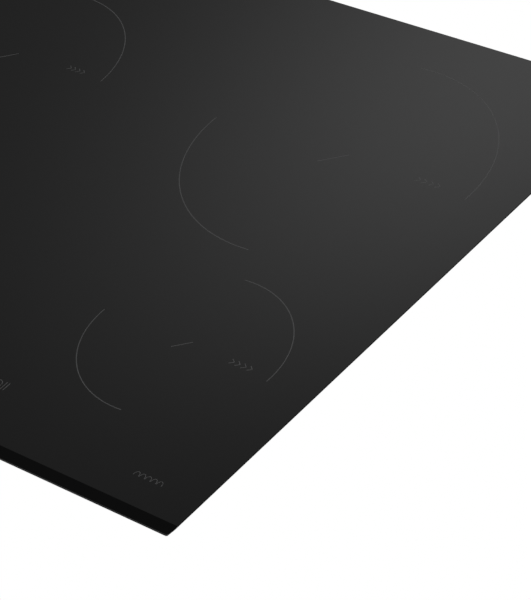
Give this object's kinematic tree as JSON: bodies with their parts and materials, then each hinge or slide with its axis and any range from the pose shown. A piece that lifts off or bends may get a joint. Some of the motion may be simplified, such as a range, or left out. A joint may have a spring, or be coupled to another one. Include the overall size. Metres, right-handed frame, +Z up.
{
  "type": "induction cooktop",
  "caption": "Flat built-in glass-ceramic induction cooktop with touch controls, coils, power electronics, fans and worktop clamps in a stepped steel housing.",
  "frame": {"origin": "centre of the flat underside of the electronics box", "axes": "+X to the user's right along the front edge, -Y towards the user, +Z up through the glass"},
  "size_m": [0.59, 0.52, 0.052],
  "materials": {
    "black_glass": "polished black glass-ceramic",
    "foam": "closed-cell foam",
    "silicone": "cured silicone bead",
    "zinc_steel": "zinc-coated sheet, faint spangle",
    "aluminium": "mill finish",
    "black_plastic": "fine moulded grain",
    "copper": "lacquered litz strand",
    "carrier_plastic": "glass-filled moulding",
    "ferrite": "sintered, matt",
    "mica": "pressed mica sheet",
    "sensor_ceramic": "white sensor holder",
    "spring_steel": "bright spring steel",
    "circuit_board": "solder mask",
    "terminal_plastic": "moulded polyamide"
  },
  "bodies": {
    "root": {"glass_top": "black_glass", "seal_strip": "foam", "glass_bead": "silicone", "upper_frame": "zinc_steel", "electronics_box": "zinc_steel", "clamp_screw_front_right": "zinc_steel", "clamp_screw_rear_right": "zinc_steel", "clamp_screw_rear_left": "zinc_steel", "clamp_screw_front_left": "zinc_steel", "box_screw_front_right": "zinc_steel", "box_screw_rear_right": "zinc_steel", "box_screw_rear_left": "zinc_steel", "box_screw_front_left": "zinc_steel", "coil_tray": "aluminium", "heatsink_left": "aluminium", "heatsink_right": "aluminium", "exhaust_grille": "black_plastic", "inlet_grille_left": "black_plastic", "inlet_grille_right": "black_plastic", "fan_housing_left": "black_plastic", "fan_housing_right": "black_plastic", "touch_holder": "black_plastic", "cable_gland": "black_plastic", "coil_winding_front_right": "copper", "coil_winding_rear_right": "copper", "coil_winding_rear_left": "copper", "coil_winding_front_left": "copper", "coil_carrier_front_right": "carrier_plastic", "coil_carrier_rear_right": "carrier_plastic", "coil_carrier_rear_left": "carrier_plastic", "coil_carrier_front_left": "carrier_plastic", "filter_choke": "ferrite", "coil_ferrites_front_right": "ferrite", "coil_ferrites_rear_right": "ferrite", "coil_ferrites_rear_left": "ferrite", "coil_ferrites_front_left": "ferrite", "coil_insulation_front_right": "mica", "coil_insulation_rear_right": "mica", "coil_insulation_rear_left": "mica", "coil_insulation_front_left": "mica", "sensor_spring_front_right": "spring_steel", "sensor_spring_rear_right": "spring_steel", "sensor_spring_rear_left": "spring_steel", "sensor_spring_front_left": "spring_steel", "power_board_left": "circuit_board", "power_board_right": "circuit_board", "filter_board": "circuit_board", "touch_board": "circuit_board", "terminal_block": "terminal_plastic"},
    "impeller_left": {"fan_impeller_left": "black_plastic"},
    "impeller_right": {"fan_impeller_right": "black_plastic"},
    "sensor_front_right_body": {"sensor_front_right": "sensor_ceramic"},
    "sensor_rear_right_body": {"sensor_rear_right": "sensor_ceramic"},
    "sensor_rear_left_body": {"sensor_rear_left": "sensor_ceramic"},
    "sensor_front_left_body": {"sensor_front_left": "sensor_ceramic"},
    "claw_front_right": {"clamp_claw_front_right": "spring_steel"},
    "claw_rear_right": {"clamp_claw_rear_right": "spring_steel"},
    "claw_rear_left": {"clamp_claw_rear_left": "spring_steel"},
    "claw_front_left": {"clamp_claw_front_left": "spring_steel"},
    "terminal_lid": {"terminal_cover": "black_plastic"}
  },
  "joints": [
    {"name": "fan_left_spin", "type": "hinge", "parent": "root", "child": "impeller_left", "pos_m": [-0.12, 0.112, 0.02], "axis": [0, 0, 1], "continuous": true},
    {"name": "fan_right_spin", "type": "hinge", "parent": "root", "child": "impeller_right", "pos_m": [0.12, 0.112, 0.02], "axis": [0, 0, 1], "continuous": true},
    {"name": "sensor_front_right_travel", "type": "slide", "parent": "root", "child": "sensor_front_right_body", "axis": [0, 0, 1], "range_m": [-0.002, 0], "stiffness_N_per_m": 200, "springref_m": 0.002, "deforming": ["sensor_spring_front_right"]},
    {"name": "sensor_rear_right_travel", "type": "slide", "parent": "root", "child": "sensor_rear_right_body", "axis": [0, 0, 1], "range_m": [-0.002, 0], "stiffness_N_per_m": 200, "springref_m": 0.002, "deforming": ["sensor_spring_rear_right"]},
    {"name": "sensor_rear_left_travel", "type": "slide", "parent": "root", "child": "sensor_rear_left_body", "axis": [0, 0, 1], "range_m": [-0.002, 0], "stiffness_N_per_m": 200, "springref_m": 0.002, "deforming": ["sensor_spring_rear_left"]},
    {"name": "sensor_front_left_travel", "type": "slide", "parent": "root", "child": "sensor_front_left_body", "axis": [0, 0, 1], "range_m": [-0.002, 0], "stiffness_N_per_m": 200, "springref_m": 0.002, "deforming": ["sensor_spring_front_left"]},
    {"name": "claw_front_right_swivel", "type": "hinge", "parent": "root", "child": "claw_front_right", "pos_m": [0.262, -0.12, 0.023], "axis": [0, 0, -1], "range_deg": [0, 90]},
    {"name": "claw_rear_right_swivel", "type": "hinge", "parent": "root", "child": "claw_rear_right", "pos_m": [0.262, 0.12, 0.023], "axis": [0, 0, 1], "range_deg": [0, 90]},
    {"name": "claw_rear_left_swivel", "type": "hinge", "parent": "root", "child": "claw_rear_left", "pos_m": [-0.262, 0.12, 0.023], "axis": [0, 0, -1], "range_deg": [0, 90]},
    {"name": "claw_front_left_swivel", "type": "hinge", "parent": "root", "child": "claw_front_left", "pos_m": [-0.262, -0.12, 0.023], "axis": [0, 0, 1], "range_deg": [0, 90]},
    {"name": "terminal_cover_hinge", "type": "hinge", "parent": "root", "child": "terminal_lid", "pos_m": [0.191, 0.2124, 0.0284], "axis": [1, 0, 0], "range_deg": [0, 90]}
  ]
}
